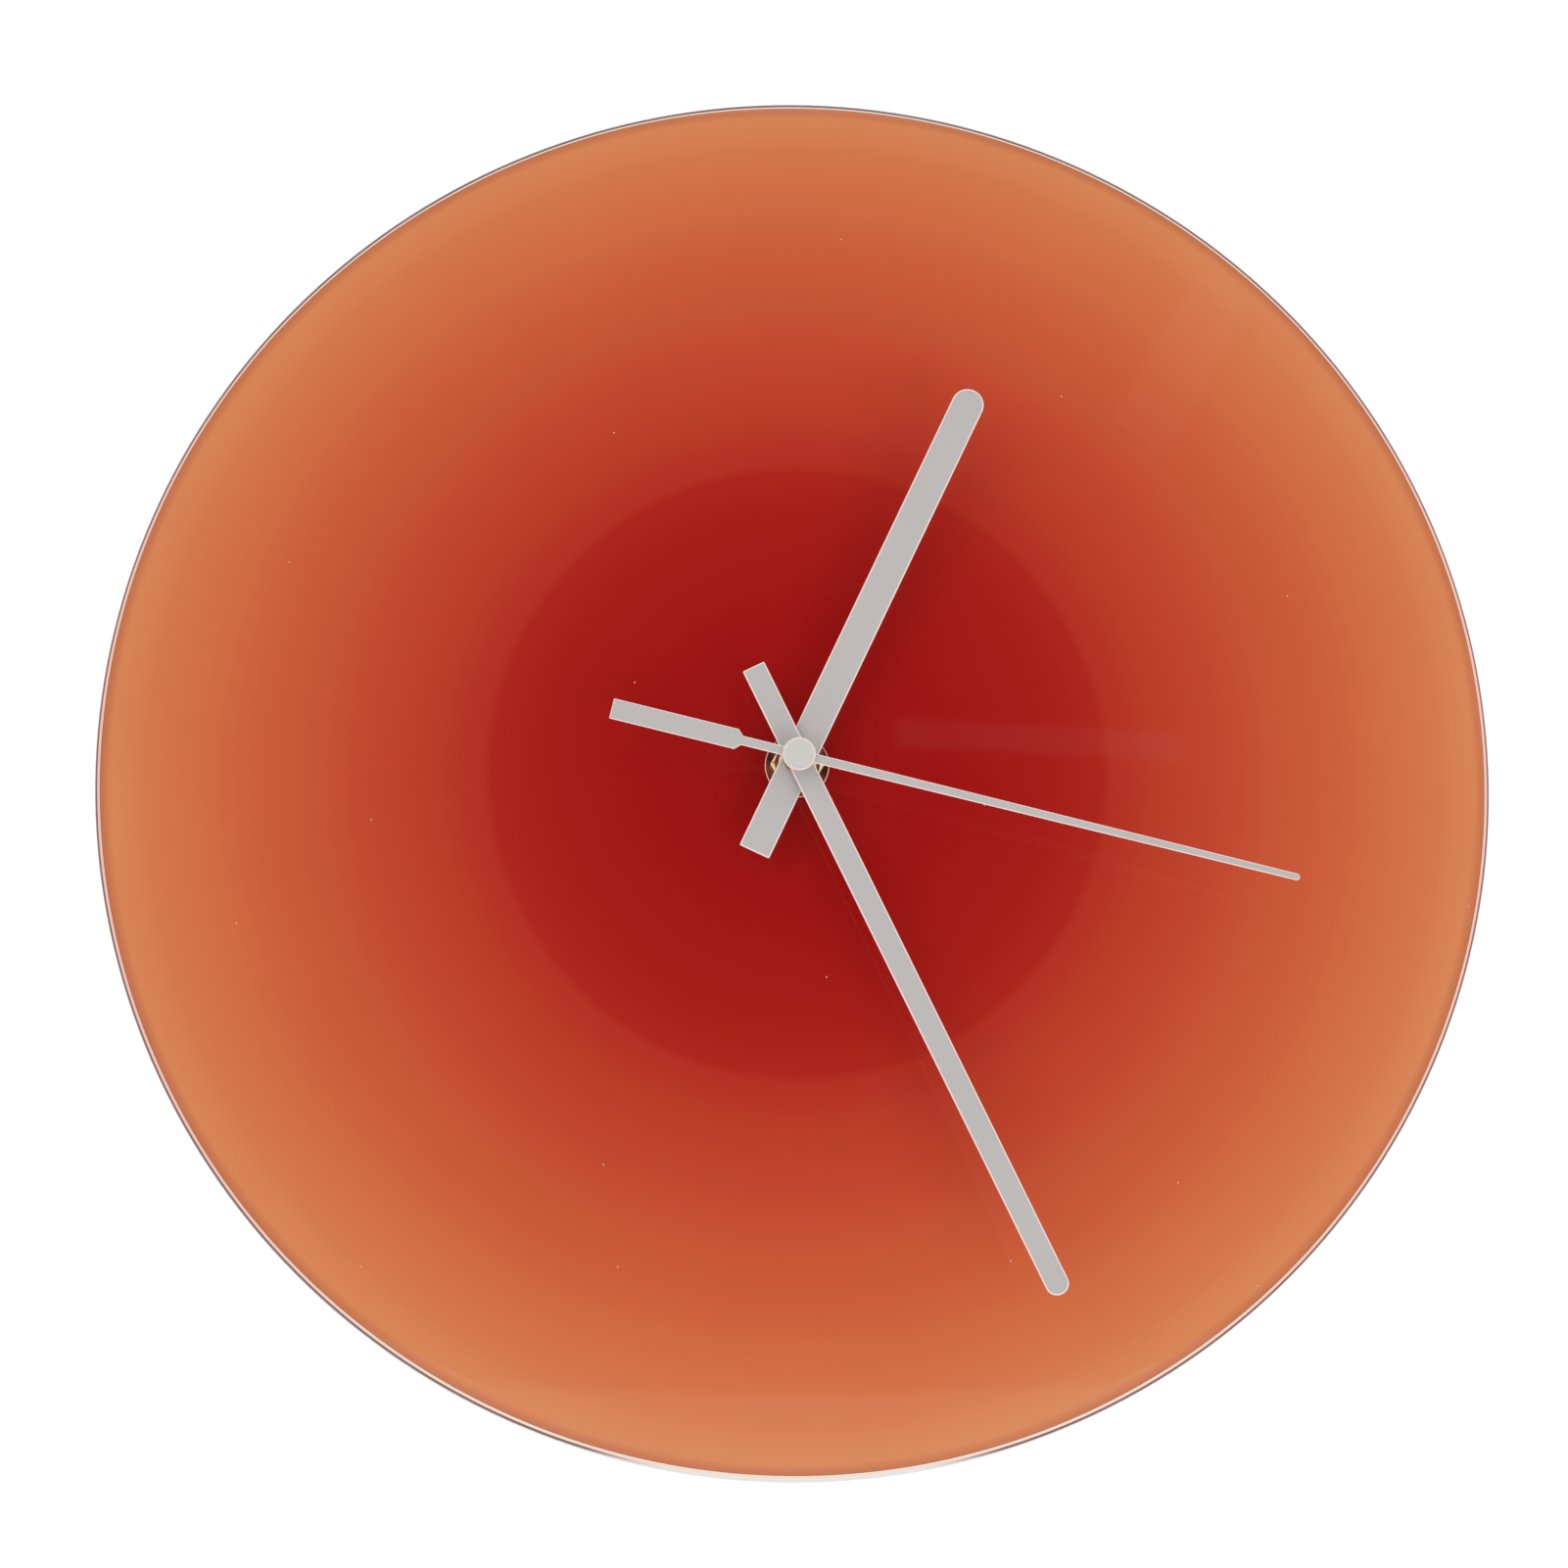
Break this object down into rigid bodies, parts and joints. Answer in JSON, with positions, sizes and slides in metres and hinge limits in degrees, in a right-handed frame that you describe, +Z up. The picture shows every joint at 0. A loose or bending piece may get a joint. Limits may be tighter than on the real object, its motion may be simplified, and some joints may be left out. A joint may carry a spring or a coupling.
{
  "type": "wall clock",
  "caption": "Frameless domed glass wall clock, red shading to orange at the rim, with flat grey bar hands and a hidden quartz movement hung from a keyhole strap.",
  "frame": {"origin": "centre of the nail in the hanger's keyhole slot, on the plane of the wall", "axes": "+Z up, +X to the right as seen from the front, +Y into the wall, so the clock faces -Y"},
  "size_m": [0.3, 0.0433, 0.3],
  "materials": {
    "tinted_glass": "clear glossy glass with opaque red to orange colour behind it",
    "black_felt": "matt flocked",
    "black_rubber": "matt",
    "brass_parts": "turned, bright",
    "zinc_steel": "zinc plated",
    "case_plastic": "moulded, fine texture",
    "white_plastic": "moulded, natural",
    "amber_plastic": "moulded",
    "copper_wire": "enamelled copper wire",
    "silicon_steel": "punched sheet",
    "board_laminate": "lacquered laminate",
    "chip_resin": "cast resin",
    "magnet_metal": "sintered",
    "battery_sleeve": "plain plastic sleeve over steel",
    "hand_grey": "matt light grey on thin aluminium",
    "satin_aluminium": "satin, turned"
  },
  "bodies": {
    "clock_body": {"glass_dome": "tinted_glass", "backing_disc": "black_felt", "rubber_washer": "black_rubber", "brass_washer": "brass_parts", "centre_nut": "brass_parts", "wall_hanger": "zinc_steel", "movement_case": "case_plastic", "movement_cover": "case_plastic", "threaded_bush": "brass_parts", "gear_bridge": "white_plastic", "stator": "silicon_steel", "coil_core": "silicon_steel", "coil_bobbin": "amber_plastic", "coil_winding": "copper_wire", "circuit_board": "board_laminate", "timing_chip": "chip_resin", "quartz_crystal": "zinc_steel", "positive_contact": "zinc_steel", "negative_contact": "zinc_steel"},
    "minute_arbor": {"centre_wheel": "white_plastic", "minute_hand": "hand_grey", "minute_hand_bush": "brass_parts"},
    "hour_arbor": {"hour_wheel": "white_plastic", "hour_hand": "hand_grey", "hour_hand_bush": "brass_parts"},
    "second_shaft": {"second_wheel": "white_plastic", "second_arbor": "zinc_steel", "second_hand": "hand_grey", "second_hand_tube": "brass_parts", "second_hand_cap": "satin_aluminium"},
    "third_arbor": {"third_wheel": "white_plastic"},
    "fifth_arbor": {"fifth_wheel": "white_plastic"},
    "rotor": {"rotor_shaft": "white_plastic", "rotor_magnet": "magnet_metal"},
    "intermediate_arbor": {"intermediate_wheel": "white_plastic"},
    "setting_shaft": {"setting_pinion": "white_plastic", "setting_knob": "white_plastic"},
    "battery": {"battery_cell": "battery_sleeve"}
  },
  "joints": [
    {"name": "minute_spin", "type": "hinge", "parent": "clock_body", "child": "minute_arbor", "pos_m": [0, -0.03, -0.041], "axis": [0, 1, 0], "continuous": true},
    {"name": "hour_spin", "type": "hinge", "parent": "clock_body", "child": "hour_arbor", "pos_m": [0, -0.03, -0.041], "axis": [0, 1, 0], "continuous": true},
    {"name": "second_spin", "type": "hinge", "parent": "clock_body", "child": "second_shaft", "pos_m": [0, -0.03, -0.041], "axis": [0, 1, 0], "continuous": true},
    {"name": "third_spin", "type": "hinge", "parent": "clock_body", "child": "third_arbor", "pos_m": [-0.00935, -0.012, -0.0356], "axis": [0, 1, 0], "continuous": true},
    {"name": "fifth_spin", "type": "hinge", "parent": "clock_body", "child": "fifth_arbor", "pos_m": [0.00987, -0.012, -0.03741], "axis": [0, 1, 0], "continuous": true},
    {"name": "rotor_spin", "type": "hinge", "parent": "clock_body", "child": "rotor", "pos_m": [0.01462, -0.009, -0.03266], "axis": [0, 1, 0], "continuous": true},
    {"name": "intermediate_spin", "type": "hinge", "parent": "clock_body", "child": "intermediate_arbor", "pos_m": [0.00175, -0.016, -0.03107], "axis": [0, 1, 0], "continuous": true},
    {"name": "setting_spin", "type": "hinge", "parent": "clock_body", "child": "setting_shaft", "pos_m": [-0.00538, -0.01, -0.02395], "axis": [0, 1, 0], "continuous": true},
    {"name": "battery_slide", "type": "slide", "parent": "clock_body", "child": "battery", "axis": [0, 1, 0], "range_m": [0, 0.02]}
  ],
  "couplings": [
    {"joint": "hour_spin", "follows": "minute_spin", "ratio": 0.083333},
    {"joint": "second_spin", "follows": "minute_spin", "ratio": 60},
    {"joint": "third_spin", "follows": "minute_spin", "ratio": -7.5},
    {"joint": "fifth_spin", "follows": "minute_spin", "ratio": -360},
    {"joint": "rotor_spin", "follows": "minute_spin", "ratio": 1800},
    {"joint": "intermediate_spin", "follows": "minute_spin", "ratio": -0.33333},
    {"joint": "setting_spin", "follows": "minute_spin", "ratio": 1}
  ]
}
